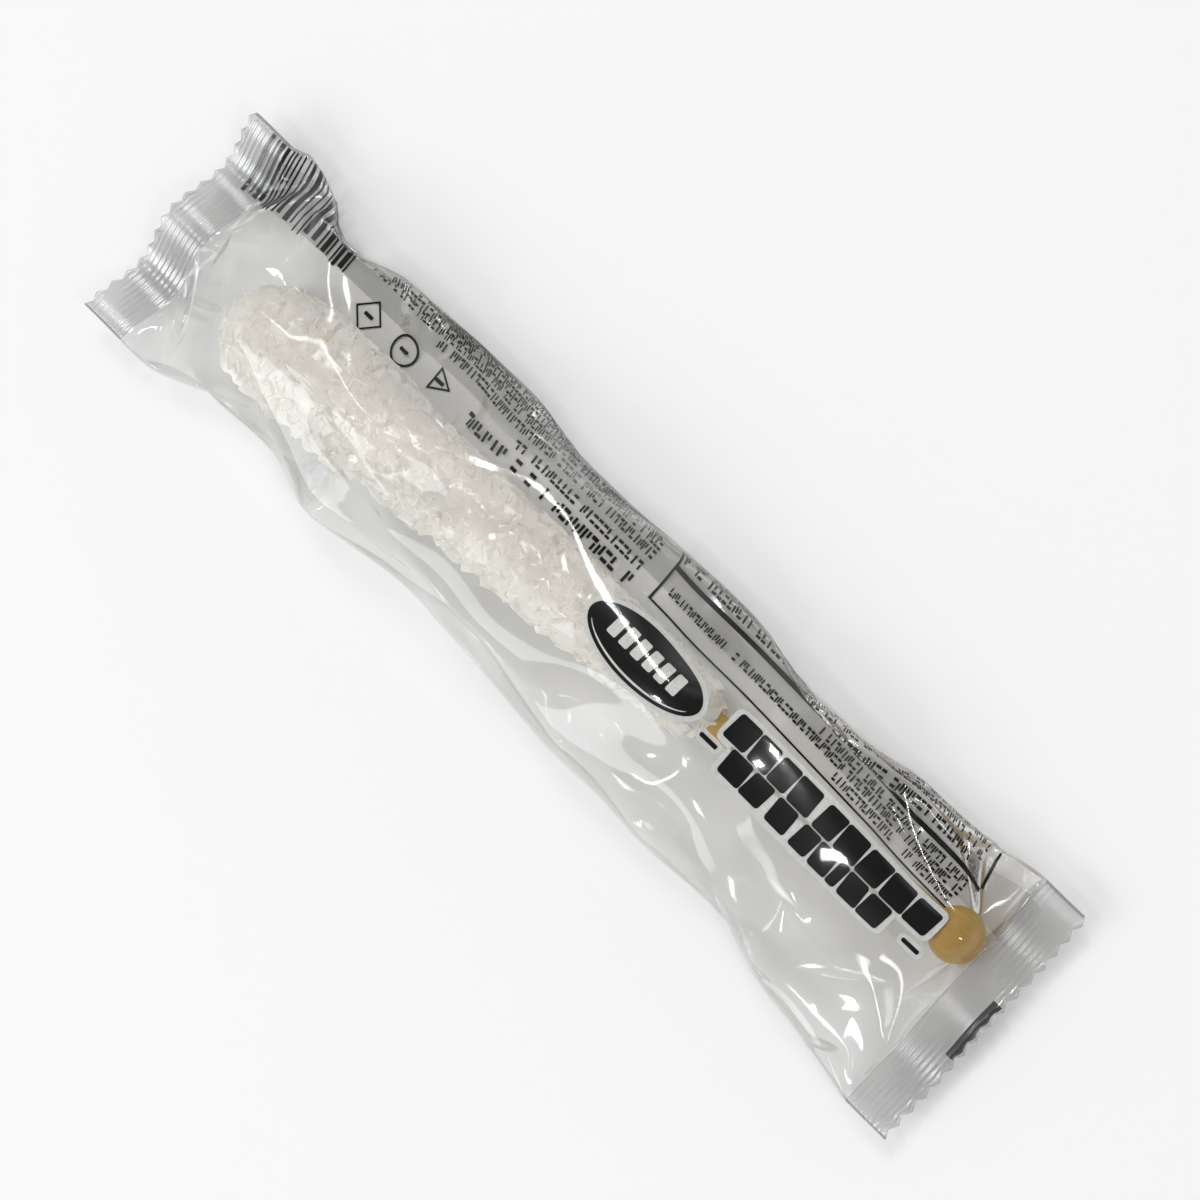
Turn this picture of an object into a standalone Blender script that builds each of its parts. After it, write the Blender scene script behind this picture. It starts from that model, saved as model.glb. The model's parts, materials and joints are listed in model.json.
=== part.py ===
"""Sealed film pack that holds rock candy on a stick, as one closed solid.

The pack is a tube of film pressed flat and crimped at both ends, with saw-toothed cut edges.
X runs along the pack towards the ball of the stick, Y runs across it and Z is up. The pack lies
on the flat strip of its underside, at Z = 0. Lengths are in metres.
"""

import math

import bpy
import numpy as np

# The film tube and its crimped ends.
PACK_LENGTH = 0.203
FLAT_WIDTH = 0.049
GIRTH = 2 * FLAT_WIDTH
SEAL_LENGTH = 0.0093
SEAL_THICKNESS = 0.0005
SEAL_HEIGHT = 0.0046
CRIMP_COUNT = 9
CRIMP_DEPTH = 0.0002
TOOTH_COUNT = 15.5
TOOTH_DEPTH = 0.0008

# How far each end's seal waves up and down across the pack, how many waves it holds, and how
# far into the body the waves fade out. The candy end is curled, so its seal is narrower.
CANDY_END_WAVE = 0.0021
BALL_END_WAVE = 0.0005
WAVES_PER_SEAL = 2
WAVE_FADE = 0.014

# Height of the film over the contents: (distance from the candy end's seal, height).
HEIGHTS = (
    (0.000, SEAL_HEIGHT + SEAL_THICKNESS / 2),
    (0.009, 0.0165),
    (0.018, 0.0212),
    (0.042, 0.0208),
    (0.062, 0.0180),
    (0.120, 0.0170),
    (0.164, 0.0150),
    (0.174, 0.0125),
    (0.1844, SEAL_HEIGHT + SEAL_THICKNESS / 2),
)
SMOOTHING = 0.005

# The underside drops from the seal to the table over this length at each end. Its lowest part
# is cut off flat, which makes the strip that the pack rests on.
BELLY_RISE = 0.020
BELLY_CUT = 0.0004

# Shape of a cross-section: where the side edges sit between belly and top, how square the two
# halves are, and how far the ridge wanders sideways as it follows the stick.
EDGE_LEVEL = 0.45
TOP_SQUARENESS = 2.15
BELLY_SQUARENESS = 2.8
RIDGE_AT_CANDY = -0.0025
RIDGE_AT_BALL = 0.0060
BODY_BOW = 0.0018

# Fineness of the mesh.
SPANS_ACROSS = round(2 * TOOTH_COUNT)
BODY_STATIONS = 30
CURVE_SAMPLES = 181
WIDTH_STEPS = 40

SEAL_INNER = PACK_LENGTH / 2 - SEAL_LENGTH


def smooth_step(value):
    """0 below 0, 1 above 1 and an even S between them."""
    t = min(max(value, 0.0), 1.0)
    return t * t * (3 - 2 * t)


def end_distance(x):
    """Distance from x to the nearer seal's inner edge, or 0 inside a seal."""
    return max(SEAL_INNER - abs(x), 0.0)


def top_height(x):
    """Height of the film's ridge at x, rounded off between the listed heights."""
    window = min(SMOOTHING, end_distance(x))
    places = x + SEAL_INNER + window * np.linspace(-1, 1, 9)
    distances, heights = zip(*HEIGHTS)
    return float(np.interp(places, distances, heights).mean())


def belly_height(x):
    """Height of the underside before its lowest part is cut off flat."""
    flat = SEAL_HEIGHT - SEAL_THICKNESS / 2
    return flat + (-BELLY_CUT - flat) * smooth_step(end_distance(x) / BELLY_RISE)


def wave_height(x, across):
    """Lift of the film by the seal's waves. across runs from -0.5 to 0.5 over the width."""
    size = CANDY_END_WAVE if x < 0 else BALL_END_WAVE
    fade = 1 - smooth_step(end_distance(x) / WAVE_FADE)
    return size * fade * np.cos(2 * math.pi * WAVES_PER_SEAL * across)


def half_curve(x, width, peak, squareness):
    """One half of a section, from the +Y edge to the -Y edge, as even steps along the film."""
    edge = belly_height(x) + EDGE_LEVEL * (top_height(x) - belly_height(x))
    turn = np.linspace(0, math.pi, CURVE_SAMPLES)
    reach = np.abs(np.cos(turn)) ** (2 / squareness) * np.sign(np.cos(turn))
    rise = np.sin(turn) ** (2 / squareness)
    ridge = np.interp(x, (-SEAL_INNER, SEAL_INNER), (RIDGE_AT_CANDY, RIDGE_AT_BALL))
    lean = ridge * smooth_step(end_distance(x) / BELLY_RISE)
    y = width / 2 * reach + lean * rise
    z = edge + (peak - edge) * rise + wave_height(x, reach / 2)
    curve = np.stack([y, np.maximum(z, 0)], axis=1)
    steps = np.linalg.norm(np.diff(curve, axis=0), axis=1)
    along = np.concatenate([[0], np.cumsum(steps)])
    wanted = np.linspace(0, along[-1], SPANS_ACROSS + 1)
    return np.stack([np.interp(wanted, along, curve[:, i]) for i in range(2)], axis=1)


def section(x, width):
    """The closed section at x: the top from +Y to -Y, then the belly back again."""
    top = half_curve(x, width, top_height(x), TOP_SQUARENESS)
    belly = half_curve(x, width, belly_height(x), BELLY_SQUARENESS)
    return np.concatenate([top, belly[-2:0:-1]])


def section_of_film(x):
    """The section whose length round is the film's girth, found by halving the range of widths."""
    low, high = FLAT_WIDTH / 2, FLAT_WIDTH
    for _ in range(WIDTH_STEPS):
        width = (low + high) / 2
        ring = section(x, width)
        girth = np.linalg.norm(np.roll(ring, -1, axis=0) - ring, axis=1).sum()
        low, high = (width, high) if girth < GIRTH else (low, width)
    bow = BODY_BOW * smooth_step(2 * end_distance(x) / SEAL_INNER)
    return section(x, low) + (bow, 0)


def crimp_stations():
    """Distances from a seal's inner edge to each fold of its crimp, with the fold's lift."""
    room = SEAL_LENGTH - TOOTH_DEPTH
    spacing = room / (2 * CRIMP_COUNT)
    return [(spacing * i, CRIMP_DEPTH * (i % 2)) for i in range(2 * CRIMP_COUNT)]


def station_rings():
    """Every ring of the pack as rows of X, Y, Z, from the candy end to the ball end."""
    folds = crimp_stations()
    turns = np.linspace(-math.pi / 2, math.pi / 2, BODY_STATIONS + 2)[1:-1]
    stations = [(-SEAL_INNER - reach, lift) for reach, lift in reversed(folds)]
    stations += [(SEAL_INNER * math.sin(turn), 0) for turn in turns]
    stations += [(SEAL_INNER + reach, lift) for reach, lift in folds]
    rings = []
    for x, lift in stations:
        ring = section_of_film(x) + (0, lift)
        rings.append(np.column_stack([np.full(len(ring), x), ring]))
    return [cut_ring(-1)] + rings + [cut_ring(1)]


def cut_ring(side):
    """The saw-toothed ring at one end. side is -1 for the candy end and 1 for the ball end."""
    ring = section_of_film(side * PACK_LENGTH / 2)
    order = np.arange(len(ring))
    column = np.where(order <= SPANS_ACROSS, order, len(ring) - order)
    x = side * (PACK_LENGTH / 2 - TOOTH_DEPTH * (column % 2))
    return np.column_stack([x, ring])


def pack_faces(ring_count, ring_size):
    """Quads between neighbouring rings and across both ends, all facing outwards."""
    faces = []
    for ring in range(ring_count - 1):
        for i in range(ring_size):
            here = ring * ring_size + i
            there = ring * ring_size + (i + 1) % ring_size
            faces.append((here, there, there + ring_size, here + ring_size))
    last = (ring_count - 1) * ring_size
    for i in range(SPANS_ACROSS):
        corners = (i, i + 1, ring_size - i - 1, (ring_size - i) % ring_size)
        cap = tuple(dict.fromkeys(corners))
        faces.append(cap[::-1])
        faces.append(tuple(last + corner for corner in cap))
    return faces


def film_material():
    """Clear film over pale sweets, seen as one glossy pale surface."""
    material = bpy.data.materials.new("film")
    material.use_nodes = True
    shader = material.node_tree.nodes["Principled BSDF"]
    shader.inputs["Base Color"].default_value = (0.62, 0.61, 0.58, 1)
    shader.inputs["Roughness"].default_value = 0.16
    shader.inputs["Metallic"].default_value = 0
    return material


for old in list(bpy.data.objects):
    bpy.data.objects.remove(old)

rings = station_rings()
mesh = bpy.data.meshes.new("candy_pack")
mesh.from_pydata(
    np.concatenate(rings).tolist(),
    [],
    pack_faces(len(rings), len(rings[0])),
)
mesh.validate()
mesh.materials.append(film_material())
pack = bpy.data.objects.new("candy_pack", mesh)
collection = bpy.data.collections.new("rock_candy_stick")
bpy.context.scene.collection.children.link(collection)
collection.objects.link(pack)

with bpy.context.temp_override(
    object=pack, active_object=pack, selected_objects=[pack], selected_editable_objects=[pack]
):
    bpy.ops.object.shade_smooth()
mesh.set_sharp_from_angle(angle=math.radians(38))
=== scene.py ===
# %% [markdown]
# # A rock candy stick in its film pack
#
# Sugar crystals have grown round the end of a thin wooden stick that carries a wooden ball. The
# whole thing lies in a tube of clear film, crimped shut and saw-cut at both ends, with black
# print on it. This lesson replaces the plain solid of the pack with its real contents: film,
# crystals, stick, ball and print. Sizes are in millimetres until a mesh is made.

import itertools
import json
import math

import bmesh
import bpy
import numpy as np
from mathutils import Matrix, Vector

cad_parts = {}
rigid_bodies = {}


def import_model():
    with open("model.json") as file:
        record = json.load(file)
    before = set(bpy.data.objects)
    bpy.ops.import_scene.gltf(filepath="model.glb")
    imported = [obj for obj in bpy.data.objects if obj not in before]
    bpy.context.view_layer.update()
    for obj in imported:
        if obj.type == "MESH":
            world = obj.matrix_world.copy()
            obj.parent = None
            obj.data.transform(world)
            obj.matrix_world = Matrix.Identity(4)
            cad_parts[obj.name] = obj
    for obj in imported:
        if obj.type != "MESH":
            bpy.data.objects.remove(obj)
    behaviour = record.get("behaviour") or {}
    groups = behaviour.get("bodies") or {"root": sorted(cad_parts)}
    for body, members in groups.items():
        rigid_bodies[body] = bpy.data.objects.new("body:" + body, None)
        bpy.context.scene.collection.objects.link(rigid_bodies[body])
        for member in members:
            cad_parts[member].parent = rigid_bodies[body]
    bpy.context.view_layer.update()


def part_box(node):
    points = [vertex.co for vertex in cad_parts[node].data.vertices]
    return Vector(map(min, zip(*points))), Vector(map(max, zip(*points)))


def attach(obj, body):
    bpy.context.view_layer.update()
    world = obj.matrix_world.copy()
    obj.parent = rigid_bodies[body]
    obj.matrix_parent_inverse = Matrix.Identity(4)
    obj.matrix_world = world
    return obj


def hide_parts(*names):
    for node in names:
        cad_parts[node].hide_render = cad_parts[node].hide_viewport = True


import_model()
MM = 0.001
pack_low, pack_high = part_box("candy_pack")
PACK_LENGTH = (pack_high.x - pack_low.x) / MM
print(f"the pack is {PACK_LENGTH:.1f} mm long")

# %% [markdown]
# ## Plain meshes
#
# Every piece ends as a mesh whose object sits at the origin, so that its place is in its points.
# One helper turns arrays of points and faces into such an object, and another puts each piece
# on the pack's only body, hides the plain solid and prints how many triangles the piece has.

# %% Making and keeping pieces
BODY = "root"


def new_object(name, points, faces, smooth=True):
    """A mesh object from points in millimetres."""
    mesh = bpy.data.meshes.new(name)
    mesh.from_pydata((np.asarray(points, float) * MM).tolist(), [], [list(map(int, f)) for f in faces])
    mesh.validate()
    if smooth:
        mesh.shade_smooth()
    made = bpy.data.objects.new(name, mesh)
    bpy.context.scene.collection.objects.link(made)
    return made


def keep(piece):
    """Counts an object as a piece of the pack, standing for the plain solid."""
    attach(piece, BODY)
    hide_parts("candy_pack")
    triangles = sum(len(face.vertices) - 2 for face in piece.data.polygons)
    print(f"{piece.name}: {triangles} triangles")
    return piece


def grid_faces(rows, columns, closed=False):
    """Quads between the points of a grid, numbered row by row. A closed grid wraps round."""
    order = np.arange(rows * columns).reshape(rows, columns)
    beside = np.roll(order, -1, axis=1)
    quads = np.stack([order[:-1], beside[:-1], beside[1:], order[1:]], axis=-1)
    return (quads if closed else quads[:, :-1]).reshape(-1, 4)


print("a grid of 3 by 3 points has", len(grid_faces(3, 3)), "quads")

# %% [markdown]
# ## Node trees as sums
#
# Materials and Geometry Nodes are both node trees. Two small classes make them read like
# arithmetic: a Value wraps a socket and takes Python's operators, and a Tree adds any other node
# from its type, its settings and its inputs.

# %% The Value and Tree classes
class Value:
    """An output socket that adds Math nodes when it meets an operator."""

    def __init__(self, tree, socket):
        self.tree = tree
        self.socket = socket

    def output(self, name):
        return Value(self.tree, self.socket.node.outputs[name])

    def __add__(self, other):
        return self.tree.math("ADD", self, other)

    def __sub__(self, other):
        return self.tree.math("SUBTRACT", self, other)

    def __rsub__(self, other):
        return self.tree.math("SUBTRACT", other, self)

    def __mul__(self, other):
        return self.tree.math("MULTIPLY", self, other)

    def __truediv__(self, other):
        return self.tree.math("DIVIDE", self, other)

    def __gt__(self, other):
        return self.tree.math("GREATER_THAN", self, other)

    __radd__ = __add__
    __rmul__ = __mul__


class Tree:
    """A node tree that takes nodes by type, with settings first and then inputs."""

    def __init__(self, node_tree):
        self.node_tree = node_tree
        node_tree.nodes.clear()

    def add(self, kind, settings=None, inputs=None, output=0):
        node = self.node_tree.nodes.new(kind)
        for name, value in (settings or {}).items():
            if name == "stops":
                self.set_stops(node.color_ramp, value)
            else:
                setattr(node, name, value)
        for key, value in (inputs or {}).items():
            if isinstance(value, Value):
                self.node_tree.links.new(value.socket, node.inputs[key])
            else:
                node.inputs[key].default_value = value
        return Value(self, node.outputs[output]) if len(node.outputs) else None

    def math(self, operation, first, second=0):
        return self.add("ShaderNodeMath", {"operation": operation}, {0: first, 1: second})

    def set_stops(self, ramp, stops):
        while len(ramp.elements) < len(stops):
            ramp.elements.new(0.5)
        for element, (place, color) in zip(ramp.elements, stops):
            element.position = place
            element.color = color


def new_material(name):
    """A material with an empty tree, and that tree."""
    material = bpy.data.materials.new(name)
    material.use_nodes = True
    return material, Tree(material.node_tree)


def grey(level):
    return (level, level, level, 1)


print("node helpers are ready")

# %% [markdown]
# ## The camera
#
# The camera looks down on the pack from the ball's end, a long lens far away, and is rolled so
# that the pack lies across the picture from corner to corner.

# %% Camera
CAMERA_AZIMUTH = math.radians(114.65)
CAMERA_ELEVATION = math.radians(67.72)
CAMERA_ROLL = math.radians(-71.09)
CAMERA_DISTANCE = 1183
CAMERA_TARGET = Vector((3.31, 4.68, 5.0))
CAMERA_LENS = 215.1

back = Vector((
    math.sin(CAMERA_AZIMUTH) * math.cos(CAMERA_ELEVATION),
    -math.cos(CAMERA_AZIMUTH) * math.cos(CAMERA_ELEVATION),
    math.sin(CAMERA_ELEVATION),
))
camera = bpy.data.objects.new("camera", bpy.data.cameras.new("camera"))
camera.data.lens = CAMERA_LENS
camera.location = (CAMERA_TARGET + back * CAMERA_DISTANCE) * MM
level = (-back).to_track_quat("-Z", "Y")
camera.rotation_mode = "QUATERNION"
camera.rotation_quaternion = level @ Matrix.Rotation(CAMERA_ROLL, 3, "Z").to_quaternion()
camera.data.clip_start = 0.05
camera.data.clip_end = 10
bpy.context.scene.collection.objects.link(camera)
bpy.context.scene.camera = camera
print(f"the camera is {CAMERA_DISTANCE} mm away")

# %% [markdown]
# ## What the film wraps
#
# The film's shape depends on its contents, so their outline comes first. The candy is a lumpy
# round bar, thick at one end, and it lies on the table with the stick rising out of it towards
# the ball, so one straight axis slants down and across the pack.

# %% The contents' outline
# The outline lists places along the pack and the candy's radius there.
AXIS_START = np.array((-77.0, -2.6, 10.4))
BALL_CENTRE = np.array((87.3, 7.6, 5.0))
BALL_RADIUS = 4.76
STICK_RADIUS = 2.0
CANDY_OUTLINE = (
    (-79, 0.5), (-77, 5.0), (-72, 8.6), (-64, 9.7), (-48, 9.3), (-38, 7.8),
    (-22, 7.3), (-5, 6.9), (5, 6.3), (20, 5.6), (30, 4.9), (33, 2.0),
)


def axis_at(x):
    """The Y and Z of the stick's axis at x."""
    share = (x - AXIS_START[0]) / (BALL_CENTRE[0] - AXIS_START[0])
    return tuple(AXIS_START[i] + share * (BALL_CENTRE[i] - AXIS_START[i]) for i in (1, 2))


def candy_radius(x):
    """The outer radius of the candy at x, and of the bare stick beyond it."""
    places, radii = zip(*CANDY_OUTLINE)
    return np.interp(x, places, radii, left=0.0, right=STICK_RADIUS)


print(f"the candy is {2 * candy_radius(-64):.0f} mm thick at its thick end")

# %% [markdown]
# ## The film tube
#
# Film doesn't stretch, and that one fact gives a pack its look: smooth bulges that end in sharp
# folds. So the shape is worked out rather than drawn. A grid of points stands for the tube. In
# each step a little air pressure pushes the points out, and then every neighbouring pair is
# moved back to its true distance. The table, the candy and the ball push back too. The ends are
# held in the line of the seals. Blender's Cloth could do the same; a plain numpy loop gives
# exactly the same film on every machine, and takes about twenty seconds.

# %% The seals' lines
SEAL_LENGTH = 9.3
HALF_BODY = PACK_LENGTH / 2 - SEAL_LENGTH
FLAT_WIDTH = 49.0
GIRTH = 2 * FLAT_WIDTH
SLACK_LENGTH = 4.6
FILM_LENGTH = 2 * HALF_BODY + SLACK_LENGTH
SEAL_HEIGHT = 4.6
SEAL_WAVES = {-1: 2.35, 1: 0.5}
WAVES_ACROSS = 2
LAYER_GAP = 0.07


def round_the_tube(columns):
    """Where each column of the tube is across the pack, from -0.5 to 0.5, and which layer it is
    in: 1 on the front, -1 on the back and 0 at the two side edges."""
    half = columns // 2
    order = np.arange(columns)
    across = np.where(order <= half, order / half, 2 - order / half) - 0.5
    layer = np.sign(half - order) * (order > 0)
    return across, layer


def seal_line(end, across):
    """The Y and Z of a seal across the pack. Its waves make it narrower than the flat film."""
    size = SEAL_WAVES[end]
    steps = np.linspace(-0.5, 0.5, 400)
    rise = size * np.cos(2 * math.pi * WAVES_ACROSS * steps)
    low, high = FLAT_WIDTH / 2, FLAT_WIDTH
    for _ in range(40):
        chord = (low + high) / 2
        arc = np.hypot(np.diff(steps * chord), np.diff(rise)).sum()
        low, high = (chord, high) if arc < FLAT_WIDTH else (low, chord)
    return across * low, SEAL_HEIGHT + size * np.cos(2 * math.pi * WAVES_ACROSS * across)


def pin_ends(tube):
    """Puts the first and last ring of the tube in the lines of the seals."""
    across, layer = round_the_tube(tube.shape[1])
    for end, row in ((-1, 0), (1, -1)):
        y, z = seal_line(end, across)
        tube[row, :, 0] = end * HALF_BODY
        tube[row, :, 1] = y
        tube[row, :, 2] = z + LAYER_GAP * layer
    return tube


print(f"the candy end's seal is {2 * seal_line(-1, 0.5)[0]:.1f} mm wide")

# %% The tube before it settles
# The heights belong to places along the pack.
START_HEIGHTS = ((-92, 0), (-74, 20.8), (-50, 20.5), (-30, 18), (28, 17), (72, 15), (92, 0))
START_WIDTH = 38.5
START_SHIFT = 1.5
SHOULDER = 22.0
CLEARANCE = 0.3


def start_tube(rows, columns):
    """An oval tube that flattens into the seals at both ends."""
    across, _ = round_the_tube(columns)
    turn = math.pi * (1 - 2 * np.arange(columns) / columns)
    tube = np.zeros((rows, columns, 3))
    places, heights = zip(*START_HEIGHTS)
    for row, x in zip(tube, np.linspace(-HALF_BODY, HALF_BODY, rows)):
        share = np.clip((HALF_BODY - abs(x)) / SHOULDER, 0, 1)
        share = share * share * (3 - 2 * share)
        height = np.interp(x, places, heights)
        y, z = seal_line(-1 if x < 0 else 1, across)
        row[:, 0] = x
        row[:, 1] = (1 - share) * y + share * (START_SHIFT + START_WIDTH / 2 * np.cos(turn))
        row[:, 2] = (1 - share) * z + share * height / 2 * (1 + np.sin(turn))
    part_layers(tube)
    return pin_ends(tube)


def part_layers(tube):
    """Lifts the front over the contents and presses the back below them."""
    _, layer = round_the_tube(tube.shape[1])
    x, y = tube[..., 0], tube[..., 1]
    middle, level = axis_at(x)
    stick = np.clip(candy_radius(x) ** 2 - (y - middle) ** 2, 0, None) * (x < BALL_CENTRE[0])
    ball = BALL_RADIUS ** 2 - (x - BALL_CENTRE[0]) ** 2 - (y - BALL_CENTRE[1]) ** 2
    reach = np.sqrt(np.maximum(stick, ball))
    above = np.where(reach > 0, np.maximum(tube[..., 2], level + reach + CLEARANCE), tube[..., 2])
    below = np.where(reach > 0, np.minimum(tube[..., 2], level - reach - CLEARANCE), tube[..., 2])
    tube[..., 2] = np.where(layer > 0, above, np.where(layer < 0, below, tube[..., 2]))


def finer(tube, rows, columns):
    """The same tube with more points, put evenly between the old ones."""
    place = np.linspace(0, len(tube) - 1, rows)
    before = np.minimum(place.astype(int), len(tube) - 2)
    share = (place - before)[:, None, None]
    tube = tube[before] * (1 - share) + tube[before + 1] * share
    place = np.arange(columns) * tube.shape[1] / columns
    before = place.astype(int)
    share = (place - before)[None, :, None]
    after = (before + 1) % tube.shape[1]
    return pin_ends(tube[:, before] * (1 - share) + tube[:, after] * share)


print("the tube can be started and refined")

# %% [markdown]
# Handling leaves a pack with soft dents, so the push of the air isn't quite even: a few slow
# waves along and round the tube are added to it.

# %% Uneven pressure
DENT_SEED = 8
DENT_WAVES = 14


def dents(rows, columns):
    """A smooth uneven field over the tube, about -1 to 1."""
    draw = np.random.default_rng(DENT_SEED)
    along = np.linspace(0, FILM_LENGTH, rows)[:, None]
    turn = math.pi * (1 - 2 * np.arange(columns)[None] / columns)
    field = np.zeros((rows, columns))
    for _ in range(DENT_WAVES):
        rate = draw.uniform(0.06, 0.42)
        lobes = draw.integers(1, 7)
        shift, twist = draw.uniform(0, 2 * math.pi, 2)
        sway = draw.uniform(-0.5, 0.5) * np.sin(turn + twist)
        field += np.sin(rate * along + shift + sway) * np.cos(lobes * turn + twist)
    return (field * 1.4 / math.sqrt(DENT_WAVES))[..., None]


print(f"dents reach {abs(dents(50, 50)).max():.1f} times the plain push")

# %% Settling the film
SQUEEZE_SHARE = 0.5
SHEAR_SHARE = 0.8
BEND_SHARE = 0.001
WEIGHT = 0.0005
CALM = 0.92
TOP_SPEED = 0.25
SKIN = 0.2
TABLE_HEIGHT = 0.14


def pull(first, second, length, share=1.0):
    """How far each of two points moves to bring their distance back to length."""
    gap = second - first
    now = np.sqrt((gap * gap).sum(-1, keepdims=True)) + 1e-9
    over = (now - length) / now
    return gap * over * np.where(over > 0, share, share * SQUEEZE_SHARE) / 2


def ring_pairs(tube, start):
    """Every second ring from start, and the ring after each, as views into the tube."""
    pairs = (len(tube) - start) // 2
    return tube[start:start + 2 * pairs:2], tube[start + 1:start + 1 + 2 * pairs:2]


def hold_lengths(tube, along, around):
    """One pass over all neighbours: along the tube, around it and across both diagonals."""
    slant = math.hypot(along, around)
    for start in (0, 1):
        first, second = ring_pairs(tube, start)
        move = pull(first, second, along)
        first += move
        second -= move
    move = pull(tube[:, 0::2], tube[:, 1::2], around)
    tube[:, 0::2] += move
    tube[:, 1::2] -= move
    move = pull(tube[:, 1::2], np.roll(tube[:, 0::2], -1, 1), around)
    tube[:, 1::2] += move
    tube[:, 0::2] -= np.roll(move, 1, 1)
    for lean in (1, -1):
        for start in (0, 1):
            first, second = ring_pairs(tube, start)
            move = pull(first, np.roll(second, -lean, 1), slant, SHEAR_SHARE)
            first += move
            second -= np.roll(move, lean, 1)


def soften_bends(tube, around):
    """Spreads gentle bends out and leaves sharp folds sharp, as stiff film does."""
    bend_along = np.zeros_like(tube)
    bend_along[1:-1] = tube[2:] + tube[:-2] - 2 * tube[1:-1]
    bend_around = np.roll(tube, 1, 1) + np.roll(tube, -1, 1) - 2 * tube
    sharp = (bend_along ** 2 + bend_around ** 2).sum(-1, keepdims=True)
    ease = 1 / (1 + sharp / (0.5 * around) ** 2)
    bend_along *= ease
    bend_around *= ease
    move = np.roll(bend_around, 1, 1) + np.roll(bend_around, -1, 1) - 2 * bend_around
    move[1:-1] += bend_along[2:] + bend_along[:-2] - 2 * bend_along[1:-1]
    tube[1:-1] -= BEND_SHARE * move[1:-1]


def keep_clear(tube):
    """Moves points out of the candy, the stick, the ball and the table."""
    y, z = axis_at(tube[..., 0])
    offset = np.stack([tube[..., 1] - y, tube[..., 2] - z], axis=-1)
    reach = np.linalg.norm(offset, axis=-1, keepdims=True) + 1e-9
    radius = np.where(tube[..., 0] < BALL_CENTRE[0], candy_radius(tube[..., 0]), 0)[..., None]
    radius += SKIN * (radius > 0)
    tube[..., 1:] += offset * np.clip(radius / reach - 1, 0, None)
    offset = tube - BALL_CENTRE
    reach = np.linalg.norm(offset, axis=-1, keepdims=True) + 1e-9
    tube += offset * np.clip((BALL_RADIUS + SKIN) / reach - 1, 0, None)
    tube[..., 2] = np.maximum(tube[..., 2], TABLE_HEIGHT)


def settle(tube, steps, pressure, unevenness):
    """Blows the tube up gently until it stops moving."""
    rows, columns, _ = tube.shape
    along, around = FILM_LENGTH / (rows - 1), GIRTH / columns
    push = pressure + unevenness * dents(rows, columns)
    speed = np.zeros_like(tube)
    for _ in range(steps):
        down = np.zeros_like(tube)
        down[1:-1] = tube[2:] - tube[:-2]
        outward = np.cross(down, np.roll(tube, -1, 1) - np.roll(tube, 1, 1))
        outward /= np.linalg.norm(outward, axis=-1, keepdims=True) + 1e-9
        moved = tube + speed + outward * push - (0, 0, WEIGHT)
        for _ in range(4):
            hold_lengths(moved, along, around)
            pin_ends(moved)
        for _ in range(2):
            soften_bends(moved, around)
        keep_clear(moved)
        pin_ends(moved)
        speed = (moved - tube) * CALM
        pace = np.linalg.norm(speed, axis=-1, keepdims=True) + 1e-12
        speed *= np.minimum(1, TOP_SPEED / pace)
        tube = moved
    return tube


COLUMNS = 124
ROWS = 201
COARSE_STEPS, FINE_STEPS = ((600, 350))
PRESSURE = 0.0015
UNEVENNESS = 0.0045
JITTER = 0.05
jitter = np.random.default_rng(7)
tube = start_tube(ROWS // 2 + 1, COLUMNS // 2)
tube[1:-1] += jitter.normal(0, JITTER, tube[1:-1].shape)
tube = settle(tube, COARSE_STEPS, PRESSURE, UNEVENNESS)
tube = settle(finer(tube, ROWS, COLUMNS), FINE_STEPS, PRESSURE / 2, UNEVENNESS / 2)
print(f"the settled film is {tube[..., 2].max():.1f} mm high")

# %% [markdown]
# ## Seals with crimps and teeth
#
# Beyond the tube the two layers are pressed together. Hot jaws leave ribs that run across the
# pack, and a toothed knife leaves the saw edge. Both are shaped by a rule: a wave along the seal
# for the ribs, and a zigzag that moves the last rows in and out for the teeth. The last ring is
# folded onto itself, so the film stays one closed skin.

# %% The whole film
SEAL_ROWS = 36
CRIMP_COUNT = 9
CRIMP_DEPTH = 0.16
TOOTH_DEPTH = 0.85
COLUMNS_PER_TOOTH = 4
SEAL_DROOP = {-1: 0.6, 1: -0.9}


def seal_rings(end):
    """Rings from a seal's inner line to its cut edge."""
    across, layer = round_the_tube(COLUMNS)
    y, z = seal_line(end, across)
    column = (across + 0.5) * COLUMNS / 2
    tooth = 1 - abs((column / COLUMNS_PER_TOOTH) % 1 * 2 - 1)
    rings = []
    for row in range(1, SEAL_ROWS + 1):
        share = row / SEAL_ROWS
        edge = np.clip((share - 0.8) / 0.2, 0, 1)
        reach = SEAL_LENGTH * share - TOOTH_DEPTH * tooth * edge
        rib = CRIMP_DEPTH * math.sin(math.pi * CRIMP_COUNT * share) ** 2
        lift = rib + SEAL_DROOP[end] * share ** 2
        gap = LAYER_GAP * layer * (row < SEAL_ROWS)
        rings.append(np.stack([end * (HALF_BODY + reach), y, z + lift + gap], axis=-1))
    return rings


def film_skin():
    """The rings of the film from cut edge to cut edge, and each ring's place along the film."""
    rings = seal_rings(-1)[::-1] + list(tube) + seal_rings(1)
    seal = SEAL_LENGTH * np.arange(1, SEAL_ROWS + 1) / SEAL_ROWS
    body = np.linspace(-FILM_LENGTH / 2, FILM_LENGTH / 2, ROWS)
    along = np.concatenate([-FILM_LENGTH / 2 - seal[::-1], body, FILM_LENGTH / 2 + seal])
    return np.array(rings), along


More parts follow.
